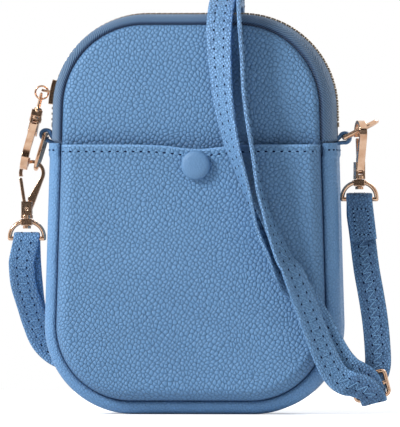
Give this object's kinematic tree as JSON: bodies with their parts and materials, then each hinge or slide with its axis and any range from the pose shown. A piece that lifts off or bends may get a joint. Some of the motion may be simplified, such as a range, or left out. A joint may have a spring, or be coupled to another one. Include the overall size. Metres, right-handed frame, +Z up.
{
  "type": "crossbody phone pouch",
  "caption": "Small upright crossbody bag with an arched zip, a front snap pocket, D-ring side tabs and a doubled slide-adjusted strap on swivel snap hooks.",
  "frame": {"origin": "centre of the flat base, half way between the front and back seams", "axes": "+Z up towards the zipped arch, -Y towards the front pocket, +X towards the right side as seen from the front"},
  "size_m": [0.1785, 0.0788, 0.1999],
  "materials": {
    "leather": "pebbled faux leather, satin",
    "leather_edge": "pebbled faux leather, satin",
    "strap_leather": "pebbled faux leather, satin",
    "lining": "plain woven lining",
    "foam": "soft foam sheet",
    "zip_tape": "woven zip tape",
    "zip_metal": "plated",
    "metal": "polished light rose gold plating"
  },
  "bodies": {
    "bag": {"front_panel": "leather", "back_panel": "leather", "side_strip": "leather_edge", "front_foam": "foam", "back_foam": "foam", "front_lining": "lining", "back_lining": "lining", "side_lining": "lining", "front_pocket": "leather", "pocket_lining": "lining", "zip_tape_front": "zip_tape", "zip_tape_back": "zip_tape", "zip_teeth_front": "zip_metal", "zip_teeth_back": "zip_metal", "zip_stops": "zip_metal", "snap_cap": "leather", "snap_socket": "metal", "snap_stud": "metal", "snap_washer": "metal", "left_tab": "leather_edge", "right_tab": "leather_edge", "strap_right": "strap_leather", "strap_front_running": "strap_leather", "strap_front_sewn": "strap_leather", "strap_back_running": "strap_leather", "strap_back_sewn": "strap_leather", "strap_left_fold": "strap_leather", "strap_slide": "metal"},
    "left_ring": {"left_d_ring": "metal"},
    "right_ring": {"right_d_ring": "metal"},
    "left_loop": {"left_hook_loop": "metal"},
    "left_hook": {"left_hook_frame": "metal", "left_hook_pin": "metal"},
    "left_gate": {"left_hook_gate": "metal"},
    "right_loop": {"right_hook_loop": "metal"},
    "right_hook": {"right_hook_frame": "metal", "right_hook_pin": "metal"},
    "right_gate": {"right_hook_gate": "metal"},
    "zip_slider": {"zip_slider": "metal"},
    "zip_ring": {"zip_ring": "metal"},
    "pull_loop": {"pull_loop": "metal"},
    "pull_hook": {"pull_frame": "metal", "pull_pin": "metal"},
    "pull_gate": {"pull_gate": "metal"}
  },
  "joints": [
    {"name": "left_ring_swing", "type": "hinge", "parent": "bag", "child": "left_ring", "pos_m": [-0.06917, 0, 0.12895], "axis": [0, 1, 0], "range_deg": [-1.5, 5]},
    {"name": "right_ring_swing", "type": "hinge", "parent": "bag", "child": "right_ring", "pos_m": [0.06921, 0, 0.12745], "axis": [0, 1, 0], "range_deg": [-1.5, 16]},
    {"name": "left_loop_rock", "type": "hinge", "parent": "bag", "child": "left_loop", "pos_m": [-0.07816, 0, 0.08096], "axis": [1, 0, 0], "range_deg": [-1.5, 1.5]},
    {"name": "left_hook_swivel", "type": "hinge", "parent": "left_loop", "child": "left_hook", "pos_m": [-0.07816, 0, 0.09022], "axis": [0, 0, 1], "range_deg": [-6, 6]},
    {"name": "left_gate_press", "type": "hinge", "parent": "left_hook", "child": "left_gate", "pos_m": [-0.07816, 0, 0.09452], "axis": [0, 1, 0], "range_deg": [0, 18], "stiffness_Nm_per_rad": 0.0008, "springref_deg": -28.65},
    {"name": "right_loop_rock", "type": "hinge", "parent": "bag", "child": "right_loop", "pos_m": [0.07601, -0.0045, 0.0991], "axis": [1, 0, 0], "range_deg": [-1.5, 1.5]},
    {"name": "right_hook_swivel", "type": "hinge", "parent": "right_loop", "child": "right_hook", "pos_m": [0.07601, -0.0045, 0.10835], "axis": [0, 0, 1], "range_deg": [-8, 6]},
    {"name": "right_gate_press", "type": "hinge", "parent": "right_hook", "child": "right_gate", "pos_m": [0.07601, -0.0045, 0.11265], "axis": [0.9613, 0.2756, 0], "range_deg": [0, 18], "stiffness_Nm_per_rad": 0.0008, "springref_deg": -28.65},
    {"name": "zip_travel", "type": "hinge", "parent": "bag", "child": "zip_slider", "pos_m": [-0.0215, 0, 0.1405], "axis": [0, 1, 0], "range_deg": [-1, 72], "deforming": ["zip_teeth_front", "zip_teeth_back"]},
    {"name": "zip_ring_swing", "type": "hinge", "parent": "zip_slider", "child": "zip_ring", "pos_m": [-0.07068, 0, 0.14953], "axis": [0, 1, 0], "range_deg": [-2, 15]},
    {"name": "pull_swing", "type": "hinge", "parent": "zip_ring", "child": "pull_loop", "pos_m": [-0.07156, 0, 0.14678], "axis": [0.0825, -0.9135, 0.3983], "range_deg": [-20, 1.5]},
    {"name": "pull_swivel", "type": "hinge", "parent": "pull_loop", "child": "pull_hook", "pos_m": [-0.07367, -0.00464, 0.13659], "axis": [-0.1853, -0.4067, -0.8946], "range_deg": [-40, 40]},
    {"name": "pull_gate_press", "type": "hinge", "parent": "pull_hook", "child": "pull_gate", "pos_m": [-0.07447, -0.00639, 0.13274], "axis": [-0.9792, 0, 0.2028], "range_deg": [0, 18], "stiffness_Nm_per_rad": 0.0008, "springref_deg": -28.65}
  ]
}
